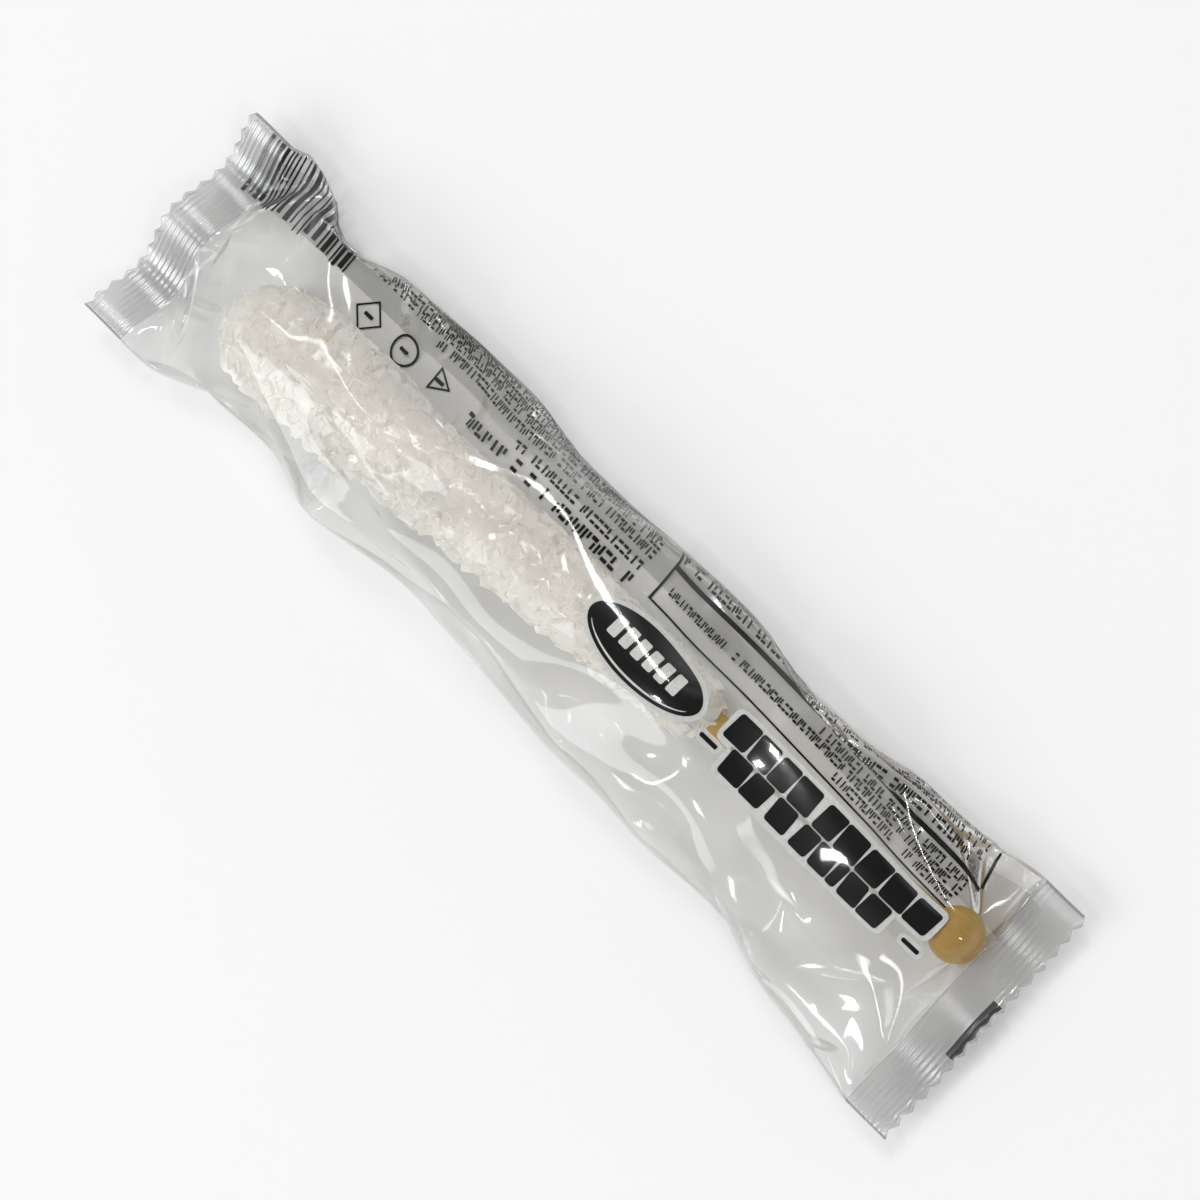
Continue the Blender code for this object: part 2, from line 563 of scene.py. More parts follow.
def wrap_film(rings, along):
    """The film as a mesh, with a map of how far each point is along and round the flat film."""
    count = len(rings)
    number = np.arange(count * COLUMNS).reshape(count, COLUMNS)
    for row in (0, -1):
        number[row, COLUMNS // 2 + 1:] = number[row, COLUMNS // 2 - 1:0:-1]
    number = np.concatenate([number, number[:, :1]], axis=1)
    place = np.meshgrid((along - along[0]) / (along[-1] - along[0]),
                        np.arange(COLUMNS + 1) / COLUMNS, indexing="ij")
    corners = grid_faces(count, COLUMNS + 1)[:, ::-1]
    used, faces = np.unique(number.reshape(-1)[corners], return_inverse=True)
    made = new_object("film", rings.reshape(-1, 3)[used], faces.reshape(-1, 4))
    film_map = made.data.uv_layers.new(name="film_map")
    spots = np.stack([place[0].reshape(-1)[corners], place[1].reshape(-1)[corners]], axis=-1)
    film_map.uv.foreach_set("vector", spots.astype(np.float32).reshape(-1))
    return made


skin, skin_along = film_skin()
FILM_SPAN = skin_along[-1] - skin_along[0]
film = wrap_film(skin, skin_along)
print(f"the film is {FILM_SPAN:.1f} mm long when flat")

# %% [markdown]
# ## Clear film
#
# Thin film bends light so little that it can be a single skin: what is behind shows straight
# through, a little greyed, and the film adds its shine on top. The shine is a Fresnel term, weak
# where the film faces the eye and strong where it turns away. Along the crimps the film is
# whiter, because the pressed ribs scatter light, and the film's own map says where they are. In
# patches the tops of the ribs carry pale lines, a painted highlight that stands in for the light
# that the crimp ribs catch.

# %% Film material
FILM_TINT = (0.95, 0.95, 0.943, 1)
FILM_HAZE = 0.004
FILM_SHINE = 1.15
MOST_SHINE = 0.5
CRIMP_HAZE = 0.18
RIB_RATE = 2 * math.pi * CRIMP_COUNT / SEAL_LENGTH
# How much whiter the crimp ribs' tops are drawn: a painted highlight, not real wear.
RIB_GLINT = 0.32


def film_material():
    material, tree = new_material("clear_film")
    place = tree.add("ShaderNodeUVMap", {"uv_map": "film_map"})
    along = tree.add("ShaderNodeSeparateXYZ", inputs={0: place}).output("X")
    edge = tree.math("ABSOLUTE", along - 0.5) * FILM_SPAN
    crimped = edge > FILM_LENGTH / 2
    spot = tree.add("ShaderNodeTexCoord").output("Object")
    mottle = tree.add("ShaderNodeTexNoise", inputs={"Vector": spot, "Scale": 90.0, "Detail": 3.0})
    # Painted highlight: this noise picks the patches where the rib tops get pale lines.
    glint_noise = tree.add("ShaderNodeTexNoise", inputs={"Vector": spot, "Scale": 70.0, "Detail": 1.0})
    patch = tree.math("MINIMUM", tree.math("MAXIMUM", (glint_noise - 0.46) * 6.0, 0.0), 1.0)
    rib = tree.math("MAXIMUM", tree.math("SINE", (edge - FILM_LENGTH / 2) * RIB_RATE), 0.0)
    # Painted highlight along the tops of the crimp ribs, in patches.
    rib_glint = crimped * patch * rib
    shine = tree.add("ShaderNodeFresnel", inputs={"IOR": 1.45})
    # The crimps' real whitening plus the painted highlight on the rib tops.
    haze_and_glint = crimped * CRIMP_HAZE + rib_glint * RIB_GLINT + FILM_HAZE
    cover = tree.math("MINIMUM", shine * FILM_SHINE, MOST_SHINE) + haze_and_glint
    ripple = tree.add("ShaderNodeBump", inputs={
        "Strength": 0.10, "Distance": 0.0006, "Height": mottle})
    # The seals' gloss is greyer, and the painted rib highlight makes it pale again.
    tone = tree.add("ShaderNodeValToRGB", {"stops": ((0, grey(0.93)), (1, grey(0.58)))}, {
        0: crimped - rib_glint})
    gloss = tree.add("ShaderNodeBsdfPrincipled", inputs={
        "Base Color": tone, "Metallic": 1.0 - crimped * 0.4,
        "Roughness": mottle * 0.10 + 0.03 + crimped * 0.1, "Normal": ripple})
    clear = tree.add("ShaderNodeBsdfTransparent", inputs={"Color": FILM_TINT})
    tree.add("ShaderNodeOutputMaterial", inputs={
        "Surface": tree.add("ShaderNodeMixShader", inputs={0: cover, 1: clear, 2: gloss})})
    return material


film.data.materials.append(film_material())
keep(film)

# %% [markdown]
# ## Sugar
#
# Rock candy is a rough bar of fused sugar with thousands of blocky crystals standing out of it.
# The bar is a lathe-like loft round the stick's axis. The crystals are a job for Geometry Nodes:
# scatter points over the bar, stand a crystal on each, turned and sized at random, and make them
# real. A crystal here is a box with its corners cut back by different amounts, then wrapped in
# its convex hull, which gives flat slanted faces like those of real sugar.

# %% The bar
BAR_SHARE = 0.91
BAR_START = -77.5
BAR_END = 32.0


def candy_bar():
    """The fused middle of the candy, closed at both ends."""
    draw = np.random.default_rng(21)
    rows, columns = 120, 40
    turn = np.arange(columns) / columns * 2 * math.pi
    lumps = [(draw.uniform(0.1, 0.7), draw.integers(1, 5), *draw.uniform(0, 6.28, 2)) for _ in range(9)]
    points = []
    for x in np.linspace(BAR_START, BAR_END, rows):
        y, z = axis_at(x)
        radius = np.full(columns, BAR_SHARE * float(candy_radius(x)))
        for rate, lobes, shift, twist in lumps:
            radius *= 1 + 0.022 * np.sin(rate * x + shift) * np.cos(lobes * turn + twist)
        points.append(np.stack([np.full(columns, x), y + radius * np.cos(turn),
                                z + radius * np.sin(turn)], axis=-1))
    points = np.concatenate(points)
    points[:, 2] = np.maximum(points[:, 2], TABLE_HEIGHT + 0.3)
    faces = grid_faces(rows, columns, closed=True)[:, ::-1].tolist()
    faces.append(list(range(columns)))
    faces.append(list(range((rows - 1) * columns, rows * columns))[::-1])
    bar = new_object("candy_bar", points, faces)
    work = bmesh.new()
    work.from_mesh(bar.data)
    bmesh.ops.recalc_face_normals(work, faces=work.faces)
    work.to_mesh(bar.data)
    work.free()
    return bar


bar = candy_bar()
print("the bar has", len(bar.data.polygons), "faces")

# %% One crystal
CRYSTAL_KINDS = 6


def crystal_shape(number):
    """A block about one unit long with cut corners, as a helper object."""
    draw = np.random.default_rng(40 + number)
    half = np.array((0.5, draw.uniform(0.32, 0.46), draw.uniform(0.26, 0.40)))
    points = []
    for corner in np.ndindex(2, 2, 2):
        side = np.array(corner) * 2 - 1
        for axis in range(3):
            point = side * half
            point[axis] -= side[axis] * half[axis] * draw.uniform(0.08, 0.62)
            points.append(point)
    work = bmesh.new()
    made = [work.verts.new(point) for point in points]
    hull = bmesh.ops.convex_hull(work, input=made)
    loose = [item for item in hull["geom_interior"] if isinstance(item, bmesh.types.BMVert)]
    bmesh.ops.delete(work, geom=loose, context="VERTS")
    bmesh.ops.dissolve_limit(work, angle_limit=math.radians(6), verts=work.verts, edges=work.edges)
    bmesh.ops.recalc_face_normals(work, faces=work.faces)
    mesh = bpy.data.meshes.new(f"crystal_shape_{number}")
    work.to_mesh(mesh)
    work.free()
    return bpy.data.objects.new(mesh.name, mesh)


kinds = bpy.data.collections.new("crystal_kinds")
for number in range(CRYSTAL_KINDS):
    kinds.objects.link(crystal_shape(number))

# %% Growing crystals with Geometry Nodes
def node_group(name, sizes):
    """A geometry node group with a mesh in, a mesh out and named inputs, and its tree."""
    group = bpy.data.node_groups.new(name, "GeometryNodeTree")
    group.interface.new_socket("Geometry", in_out="INPUT", socket_type="NodeSocketGeometry")
    for label, kind in sizes.items():
        group.interface.new_socket(label, in_out="INPUT", socket_type=kind)
    group.interface.new_socket("Geometry", in_out="OUTPUT", socket_type="NodeSocketGeometry")
    return group, Tree(group)


def run_nodes(host, group, values):
    """Runs a group on an object and gives the result as a new plain mesh."""
    modifier = host.modifiers.new(group.name, "NODES")
    modifier.node_group = group
    for item in group.interface.items_tree:
        if item.name in values:
            modifier[item.identifier] = values[item.name]
    bpy.context.view_layer.update()
    seen = host.evaluated_get(bpy.context.evaluated_depsgraph_get())
    mesh = bpy.data.meshes.new_from_object(seen)
    host.modifiers.remove(modifier)
    return mesh


def crystal_group():
    group, tree = node_group("grow_crystals", {
        "Spacing": "NodeSocketFloat", "Smallest": "NodeSocketFloat", "Largest": "NodeSocketFloat",
        "Lean": "NodeSocketFloat", "Seed": "NodeSocketInt", "Kinds": "NodeSocketCollection",
        "Material": "NodeSocketMaterial"})
    given = tree.add("NodeGroupInput")
    seed = given.output("Seed")
    points = tree.add("GeometryNodeDistributePointsOnFaces", {"distribute_method": "POISSON"}, {
        "Mesh": given.output("Geometry"), "Distance Min": given.output("Spacing"),
        "Density Max": 2.0e6, "Seed": seed})
    lean = given.output("Lean")
    low_turn = tree.add("ShaderNodeCombineXYZ", inputs={0: lean * -1, 1: lean * -1, 2: -math.pi})
    high_turn = tree.add("ShaderNodeCombineXYZ", inputs={0: lean, 1: lean, 2: math.pi})
    turn = tree.add("FunctionNodeRandomValue", {"data_type": "FLOAT_VECTOR"}, {
        "Min": low_turn, "Max": high_turn, "Seed": seed + 1})
    stood = tree.add("FunctionNodeRotateRotation", {"rotation_space": "LOCAL"}, {
        "Rotation": points.output("Rotation"), "Rotate By": turn})
    size = tree.add("FunctionNodeRandomValue", {"data_type": "FLOAT"}, {
        2: given.output("Smallest"), 3: given.output("Largest"), "Seed": seed + 2}, output=1)
    shapes = tree.add("GeometryNodeCollectionInfo", inputs={
        "Collection": given.output("Kinds"), "Separate Children": True, "Reset Children": True})
    placed = tree.add("GeometryNodeInstanceOnPoints", inputs={
        "Points": points, "Instance": shapes, "Pick Instance": True,
        "Rotation": stood, "Scale": size})
    real = tree.add("GeometryNodeRealizeInstances", inputs={"Geometry": placed})
    done = tree.add("GeometryNodeSetMaterial", inputs={
        "Geometry": real, "Material": given.output("Material")})
    tree.add("NodeGroupOutput", inputs={"Geometry": done})
    return group


growing = crystal_group()
print("the crystal tree has", len(growing.nodes), "nodes")

# %% [markdown]
# The crystals grow twice: a close coat of small ones everywhere, and a few large blocks that
# stand further out. The film was settled round the candy's outline, so points that reach past
# that outline are drawn back to it, and nothing pokes through the film or into the table.

# %% Sugar material
SUGAR_COLOR = (0.995, 0.972, 0.915)
SUGAR_CLEARNESS = 0.14
SUGAR_DEPTH = 0.003
SHADOW_PASS = 0.9


def sugar_material():
    material, tree = new_material("sugar")
    spot = tree.add("ShaderNodeTexCoord").output("Object")
    cloud = tree.add("ShaderNodeTexNoise", inputs={"Vector": spot, "Scale": 260.0, "Detail": 3.0})
    fine = tree.add("ShaderNodeTexNoise", inputs={"Vector": spot, "Scale": 1500.0, "Detail": 2.0})
    tone = tree.add("ShaderNodeValToRGB", {"stops": (
        (0.3, (*[c * 0.93 for c in SUGAR_COLOR], 1)), (0.7, (*SUGAR_COLOR, 1)))}, {0: cloud})
    bump = tree.add("ShaderNodeBump", inputs={"Strength": 0.25, "Distance": 0.0002, "Height": fine})
    shader = tree.add("ShaderNodeBsdfPrincipled", inputs={
        "Base Color": tone, "Roughness": cloud * 0.22 + 0.05, "IOR": 1.54, "Normal": bump,
        "Transmission Weight": SUGAR_CLEARNESS, "Subsurface Weight": 0.35,
        "Subsurface Radius": (1.0, 0.9, 0.75), "Subsurface Scale": SUGAR_DEPTH})
    shadow = tree.add("ShaderNodeLightPath").output("Is Shadow Ray")
    clear = tree.add("ShaderNodeBsdfTransparent", inputs={"Color": (1.0, 0.95, 0.89, 1)})
    tree.add("ShaderNodeOutputMaterial", inputs={
        "Surface": tree.add("ShaderNodeMixShader", inputs={0: shadow * SHADOW_PASS, 1: shader, 2: clear})})
    return material


sugar = sugar_material()
print(f"sugar lets {SUGAR_CLEARNESS:.0%} of the light straight in")

# %% The crystals
CRYSTAL_LOOK = (
    ("small_crystals", {"Spacing": 1.4 * MM, "Smallest": 1.6 * MM, "Largest": 3.0 * MM,
                        "Lean": 1.1, "Seed": 3}),
    ("large_crystals", {"Spacing": 3.2 * MM, "Smallest": 3.4 * MM, "Largest": 5.2 * MM,
                        "Lean": 0.9, "Seed": 11}),
)
CRYSTAL_FLOOR = 0.3
SIDE_ROOM = 1.8
CANDY_TIP = 36.0


def draw_in(mesh):
    """Keeps crystals inside the candy's outline and above the film on the table."""
    points = np.empty(len(mesh.vertices) * 3, np.float32)
    mesh.vertices.foreach_get("co", points)
    points = points.reshape(-1, 3).astype(float) / MM
    points[:, 0] = np.clip(points[:, 0], AXIS_START[0] - 1.5, CANDY_TIP)
    y, z = axis_at(points[:, 0])
    offset = points[:, 1:] - np.stack([y, z], axis=-1)
    reach = np.linalg.norm(offset, axis=-1, keepdims=True)
    sideways = abs(offset[:, :1]) / np.maximum(reach, 0.01)
    room = np.maximum(candy_radius(points[:, 0]), STICK_RADIUS + 0.4)[:, None] + 0.05
    room += np.where(offset[:, :1] < 0, SIDE_ROOM, SIDE_ROOM / 3) * sideways ** 4
    offset *= np.minimum(1, room / np.maximum(reach, 0.01))
    points[:, 1:] = offset + np.stack([y, z], axis=-1)
    points[:, 2] = np.maximum(points[:, 2], CRYSTAL_FLOOR)
    mesh.vertices.foreach_set("co", (points * MM).astype(np.float32).reshape(-1))


for name, sizes in CRYSTAL_LOOK:
    mesh = run_nodes(bar, growing, {**sizes, "Kinds": kinds, "Material": sugar})
    draw_in(mesh)
    mesh.shade_flat()
    crystals = bpy.data.objects.new(name, mesh)
    bpy.context.scene.collection.objects.link(crystals)
    keep(crystals)
bar.data.materials.append(sugar)
keep(bar)
for shape in list(kinds.objects):
    bpy.data.objects.remove(shape)
bpy.data.collections.remove(kinds)

# %% [markdown]
# ## Stick and ball
#
# The stick is a turned birch rod with a wooden ball pushed on its end. Birch has fine pores that
# run along the grain, so its colour comes from noise that is stretched along the stick. The same
# material suits the ball, which was turned from the same wood.

# %% Wood material
WOOD_DARK = (0.44, 0.26, 0.055, 1)
WOOD_LIGHT = (0.57, 0.37, 0.10, 1)


def wood_material():
    material, tree = new_material("birch")
    spot = tree.add("ShaderNodeTexCoord").output("Object")
    along = tree.add("ShaderNodeMapping", inputs={0: spot, "Scale": (90, 900, 900)})
    pores = tree.add("ShaderNodeTexNoise", inputs={"Vector": along, "Scale": 1.0, "Detail": 4.0})
    broad = tree.add("ShaderNodeMapping", inputs={0: spot, "Scale": (25, 160, 160)})
    bands = tree.add("ShaderNodeTexNoise", inputs={"Vector": broad, "Scale": 1.0, "Detail": 2.0})
    tone = tree.add("ShaderNodeValToRGB", {"stops": ((0.3, WOOD_DARK), (0.7, WOOD_LIGHT))},
                    {0: pores * 0.4 + bands * 0.6})
    bump = tree.add("ShaderNodeBump", inputs={"Strength": 0.3, "Distance": 0.0001, "Height": pores})
    shader = tree.add("ShaderNodeBsdfPrincipled", inputs={
        "Base Color": tone, "Roughness": pores * 0.2 + 0.35, "Normal": bump})
    tree.add("ShaderNodeOutputMaterial", inputs={"Surface": shader})
    return material


wood = wood_material()


def turned(name, profile, start, end, columns=48):
    """A closed shape turned on the line from start to end. The profile lists how far along the
    line, in millimetres, and how far out."""
    axis = Vector(end) - Vector(start)
    turn = axis.to_track_quat("Z", "Y")
    angles = np.arange(columns) / columns * 2 * math.pi
    points = []
    for reach, radius in profile:
        for angle in angles:
            local = Vector((radius * math.cos(angle), radius * math.sin(angle), reach))
            points.append(Vector(start) + turn @ local)
    faces = grid_faces(len(profile), columns, closed=True).tolist()
    faces.append(list(range(columns))[::-1])
    faces.append(list(range((len(profile) - 1) * columns, len(profile) * columns)))
    made = new_object(name, points, faces)
    made.data.set_sharp_from_angle(angle=math.radians(40))
    made.data.materials.append(wood)
    return made


print("stick and ball share the", wood.name, "finish")

# %% The stick and the ball
STICK_START = -60.0
line_start = Vector((STICK_START, *axis_at(STICK_START)))
line_end = Vector(BALL_CENTRE.tolist())
stick_length = (line_end - line_start).length - 1
stick = turned("stick", ((0, 1.6), (0.4, STICK_RADIUS), (stick_length * 0.3, STICK_RADIUS),
                         (stick_length * 0.6, STICK_RADIUS + 0.03), (stick_length, STICK_RADIUS)),
               line_start, line_end)
keep(stick)
BALL_STEPS = 40
BALL_FLAT = 0.09
arc = np.linspace(math.pi - BALL_FLAT, BALL_FLAT, BALL_STEPS)
ball_profile = [(BALL_RADIUS * math.cos(a), BALL_RADIUS * math.sin(a)) for a in arc]
ball = turned("ball", ball_profile, line_end, line_end + (line_end - line_start))
keep(ball)

# %% [markdown]
# ## Print
#
# The film is printed flat on a machine before it is wrapped, so the print is drawn flat too, on
# a sheet whose X runs along the film and whose Y runs round it, both in millimetres: 0 to 49 is
# the front and 49 to 98 the back. Every mark is a plain shape. The sheet is then cut along a
# fine grid, so that it can bend, and a Geometry Nodes tree lays it just inside the film: it
# looks up the film's place and normal wherever the film's own map has the same coordinates.

# %% Laying the print on the film
INK_DEPTH = 0.05
PRINT_GRID = 0.8


def laying_group():
    group, tree = node_group("lay_on_film", {
        "Film": "NodeSocketObject", "Depth": "NodeSocketFloat", "Material": "NodeSocketMaterial"})
    given = tree.add("NodeGroupInput")
    shape = tree.add("GeometryNodeObjectInfo", inputs={"Object": given.output("Film")}
                     ).output("Geometry")
    here = tree.add("ShaderNodeSeparateXYZ", inputs={0: tree.add("GeometryNodeInputPosition")})
    place = tree.add("ShaderNodeCombineXYZ", inputs={
        0: here / (FILM_SPAN * MM), 1: here.output("Y") / (GIRTH * MM)})
    film_map = tree.add("GeometryNodeInputNamedAttribute", {"data_type": "FLOAT_VECTOR"},
                        {"Name": "film_map"})
    found = []
    for value in ("GeometryNodeInputPosition", "GeometryNodeInputNormal"):
        found.append(tree.add("GeometryNodeSampleUVSurface", {"data_type": "FLOAT_VECTOR"}, {
            "Mesh": shape, "Value": tree.add(value), "UV Map": film_map, "Sample UV": place}))
    inward = tree.add("ShaderNodeVectorMath", {"operation": "SCALE"}, {
        0: found[1], "Scale": given.output("Depth") * -1})
    laid = tree.add("ShaderNodeVectorMath", {"operation": "ADD"}, {0: found[0], 1: inward})
    moved = tree.add("GeometryNodeSetPosition", inputs={
        "Geometry": given.output("Geometry"), "Position": laid})
    real = tree.add("GeometryNodeRealizeInstances", inputs={"Geometry": moved})
    done = tree.add("GeometryNodeSetMaterial", inputs={
        "Geometry": real, "Material": given.output("Material")})
    tree.add("NodeGroupOutput", inputs={"Geometry": done})
    return group


laying = laying_group()


def lay(name, shapes, depth, material):
    """Cuts flat shapes along a fine grid and lays them on the film as one piece. Each shape is a
    list of points round it, in millimetres along the film and round it."""
    work = bmesh.new()
    for shape in shapes:
        corners = [work.verts.new((u * MM, w * MM, 0)) for u, w in shape]
        face = work.faces.new(corners)
        face.normal_update()
        if face.normal.z < 0:
            face.normal_flip()
    bmesh.ops.remove_doubles(work, verts=work.verts, dist=1e-7)
    for axis, direction in ((0, Vector((1, 0, 0))), (1, Vector((0, 1, 0)))):
        places = [corner.co[axis] / MM / PRINT_GRID for corner in work.verts]
        for step in range(math.ceil(min(places)), math.ceil(max(places))):
            bmesh.ops.bisect_plane(work, geom=work.verts[:] + work.edges[:] + work.faces[:],
                                   dist=1e-7, plane_co=direction * step * PRINT_GRID * MM,
                                   plane_no=direction)
    mesh = bpy.data.meshes.new(name + "_flat")
    work.to_mesh(mesh)
    work.free()
    flat = bpy.data.objects.new(name + "_flat", mesh)
    bpy.context.scene.collection.objects.link(flat)
    laid = run_nodes(flat, laying, {"Film": film, "Depth": depth * MM, "Material": material})
    laid.name = name
    laid.shade_smooth()
    bpy.data.objects.remove(flat)
    made = bpy.data.objects.new(name, laid)
    bpy.context.scene.collection.objects.link(made)
    return keep(made)


print("flat shapes are cut every", PRINT_GRID, "mm")

# %% [markdown]
# Rows of small print are too fine to read at arm's length, so here they are rows of plain ticks
# of uneven width with gaps where words would end. That repeats by a rule, so a Geometry Nodes
# tree makes it: a line of points, some of them dropped, and a small upright bar on each.

# %% Rows of ticks
def tick_group():
    group, tree = node_group("row_of_ticks", {
        "Count": "NodeSocketInt", "Pitch": "NodeSocketFloat", "Height": "NodeSocketFloat",
        "Gaps": "NodeSocketFloat", "Seed": "NodeSocketInt", "Kinds": "NodeSocketCollection",
        "Material": "NodeSocketMaterial"})
    given = tree.add("NodeGroupInput")
    pitch = given.output("Pitch")
    height = given.output("Height")
    seed = given.output("Seed")
    step = tree.add("ShaderNodeCombineXYZ", inputs={0: pitch})
    line = tree.add("GeometryNodeMeshLine", {"mode": "OFFSET"}, {
        "Count": given.output("Count"), "Offset": step})
    dropped = tree.add("FunctionNodeRandomValue", {"data_type": "BOOLEAN"}, {
        "Probability": given.output("Gaps"), "Seed": seed}, output=3)
    left = tree.add("GeometryNodeDeleteGeometry", {"domain": "POINT"}, {
        "Geometry": line, "Selection": dropped})
    shapes = tree.add("GeometryNodeCollectionInfo", inputs={
        "Collection": given.output("Kinds"), "Separate Children": True, "Reset Children": True})
    size = tree.add("ShaderNodeCombineXYZ", inputs={0: pitch, 1: height, 2: 1.0})
    pick = tree.add("FunctionNodeRandomValue", {"data_type": "INT"}, {
        "Min": 0, "Max": 5, "Seed": seed + 1}, output=2)
    bars = tree.add("GeometryNodeInstanceOnPoints", inputs={
        "Points": left, "Instance": shapes, "Pick Instance": True, "Instance Index": pick,
        "Scale": size})
    real = tree.add("GeometryNodeRealizeInstances", inputs={"Geometry": bars})
    done = tree.add("GeometryNodeSetMaterial", inputs={
        "Geometry": real, "Material": given.output("Material")})
    tree.add("NodeGroupOutput", inputs={"Geometry": done})
    return group


ticking = tick_group()
tick_seeds = itertools.count(107, 7)
# Each tick is one or two boxes: left, right, foot and top as shares of its pitch and height.
TICK_SHAPES = (
    ((-0.42, -0.10, -0.5, 0.5), (0.08, 0.38, -0.5, 0.05)),
    ((-0.40, 0.38, 0.20, 0.5), (-0.40, 0.38, -0.5, -0.20)),
    ((-0.16, 0.16, -0.5, 0.5),),
    ((-0.40, -0.10, -0.3, 0.5), (0.08, 0.40, -0.5, 0.3)),
    ((-0.40, 0.38, -0.5, -0.18), (0.06, 0.36, -0.1, 0.5)),
    ((-0.40, -0.08, -0.5, 0.1), (-0.40, 0.40, 0.22, 0.5)),
)
tick_kinds = bpy.data.collections.new("tick_kinds")
for number, bars in enumerate(TICK_SHAPES):
    mesh = bpy.data.meshes.new(f"tick_shape_{number}")
    corners = [(x, y, 0) for low, high, foot, top in bars
               for x, y in ((low, foot), (high, foot), (high, top), (low, top))]
    mesh.from_pydata(corners, [], [range(k, k + 4) for k in range(0, len(corners), 4)])
    tick_kinds.objects.link(bpy.data.objects.new(mesh.name, mesh))


def tick_row(start, end, middle, height, pitch=None, gaps=0.14):
    """Outlines of one row of ticks from start to end along the film, at middle round it."""
    pitch = pitch or height * 0.62
    holder = bpy.data.objects.new("tick_holder", bpy.data.meshes.new("tick_holder"))
    bpy.context.scene.collection.objects.link(holder)
    mesh = run_nodes(holder, ticking, {
        "Count": int((end - start) / pitch), "Pitch": pitch * MM, "Height": height * MM,
        "Gaps": gaps, "Seed": next(tick_seeds), "Kinds": tick_kinds})
    outlines = [[(start + mesh.vertices[k].co.x / MM, middle + mesh.vertices[k].co.y / MM)
                 for k in face.vertices] for face in mesh.polygons]
    bpy.data.objects.remove(holder)
    bpy.data.meshes.remove(mesh)
    return outlines


print("a row of ticks holds", len(tick_row(0, 50, 0, 1.6)), "bars")

# %% Other flat shapes
def box(low_u, low_w, high_u, high_w):
    return [(low_u, low_w), (high_u, low_w), (high_u, high_w), (low_u, high_w)]


def round_box(middle_u, middle_w, length, height, corner, steps=5):
    """A box with rounded corners."""
    outline = []
    for side_u, side_w, first in ((1, 1, 0), (-1, 1, 90), (-1, -1, 180), (1, -1, 270)):
        for step in range(steps + 1):
            angle = math.radians(first + 90 * step / steps)
            outline.append((middle_u + side_u * (length / 2 - corner) + corner * math.cos(angle),
                            middle_w + side_w * (height / 2 - corner) + corner * math.sin(angle)))
    return outline


def oval(middle_u, middle_w, reach_u, reach_w, steps=72):
    turn = [2 * math.pi * step / steps for step in range(steps)]
    return [(middle_u + reach_u * math.cos(a), middle_w + reach_w * math.sin(a)) for a in turn]


def band(inner, outer):
    """Quads between two outlines with the same number of points."""
    count = len(inner)
    return [[inner[k], outer[k], outer[(k + 1) % count], inner[(k + 1) % count]]
            for k in range(count)]


print("boxes, ovals and bands are flat shapes too")

# %% [markdown]
# The front carries an oval badge and two rows of bold blocks, each on a paler backing that is a
# little larger. The badge and the blocks are plain: they hold no words.

# %% Print finishes
def ink_material(name, color, roughness):
    material, tree = new_material(name)
    spot = tree.add("ShaderNodeTexCoord").output("Object")
    grain = tree.add("ShaderNodeTexNoise", inputs={"Vector": spot, "Scale": 1800.0, "Detail": 2.0})
    tone = tree.add("ShaderNodeValToRGB", {"stops": (
        (0.3, (*[c * 0.85 for c in color], 1)), (0.7, (*color, 1)))}, {0: grain})
    shader = tree.add("ShaderNodeBsdfPrincipled", inputs={
        "Base Color": tone, "Roughness": grain * 0.15 + roughness, "Specular IOR Level": 0.3})
    tree.add("ShaderNodeOutputMaterial", inputs={"Surface": shader})
    return material


black_ink = ink_material("black_ink", (0.005, 0.005, 0.0052), 0.30)
pale_ink = ink_material("pale_ink", (0.82, 0.82, 0.80), 0.45)
BADGE = (125.0, 29.0)
BADGE_REACH = (12.7, 5.2)
BACKING = 0.9
print("the inks are", black_ink.name, "and", pale_ink.name)

# %% Front print
badge_outline = oval(*BADGE, *BADGE_REACH)
front = [badge_outline]
# Each row has its start, its middle, its height and its blocks' lengths. 0 is a wider gap.
BLOCK_ROWS = (
    (142.8, 31.5, 5.1, (4.7, 4.5, 4.1, 4.9, 0, 4.3, 4.9, 4.9, 5.0, 4.8)),
    (145.8, 26.4, 4.6, (4.7, 4.5, 0, 4.5, 0, 3.8, 4.0, 2.0, 4.2, 4.5)),
)
BLOCK_GAP = 0.35
BLOCK_LEAN = 0.3
WORD_GAP = 1.0
BLOCK_SLOPE = (-0.010, -0.012)
backing = [oval(*BADGE, BADGE_REACH[0] + BACKING, BADGE_REACH[1] + BACKING)]
for (place, middle, height, lengths), slope in zip(BLOCK_ROWS, BLOCK_SLOPE):
    start = place
    for length in lengths:
        if not length:
            place += WORD_GAP
            continue
        w = middle + slope * (place - start)
        lean = BLOCK_LEAN * (1 if len(front) % 2 else -1)
        block = round_box(place + length / 2, w, length, height, 0.6)
        front.append([(u + lean * (v - w) / height, v) for u, v in block])
        place += length + BLOCK_GAP
    end = place - BLOCK_GAP
    w = middle + slope * (end - start) / 2
    backing.append(round_box((start + end) / 2, w, end - start + 2 * BACKING,
                             height + 2 * BACKING, 1.4))
for middle_u, middle_w in ((141.9, 26.6), (188.2, 26.0)):
    front.append(round_box(middle_u, middle_w, 3.6, 0.8, 0.3))
    backing.append(round_box(middle_u, middle_w, 5.0, 2.2, 0.9))
MARK_COUNT = 6
MARK_PITCH = 2.8
CRESCENT_REACH = 11.9
CRESCENT_DEPTHS = (4.15, 4.55)
marks = [round_box(BADGE[0] - 7.0 + MARK_PITCH * step, BADGE[1] + 0.6, 2.0, 3.7, 0.35)
         for step in range(MARK_COUNT)]
crescent_turn = [math.radians(a) for a in range(200, 341, 5)]
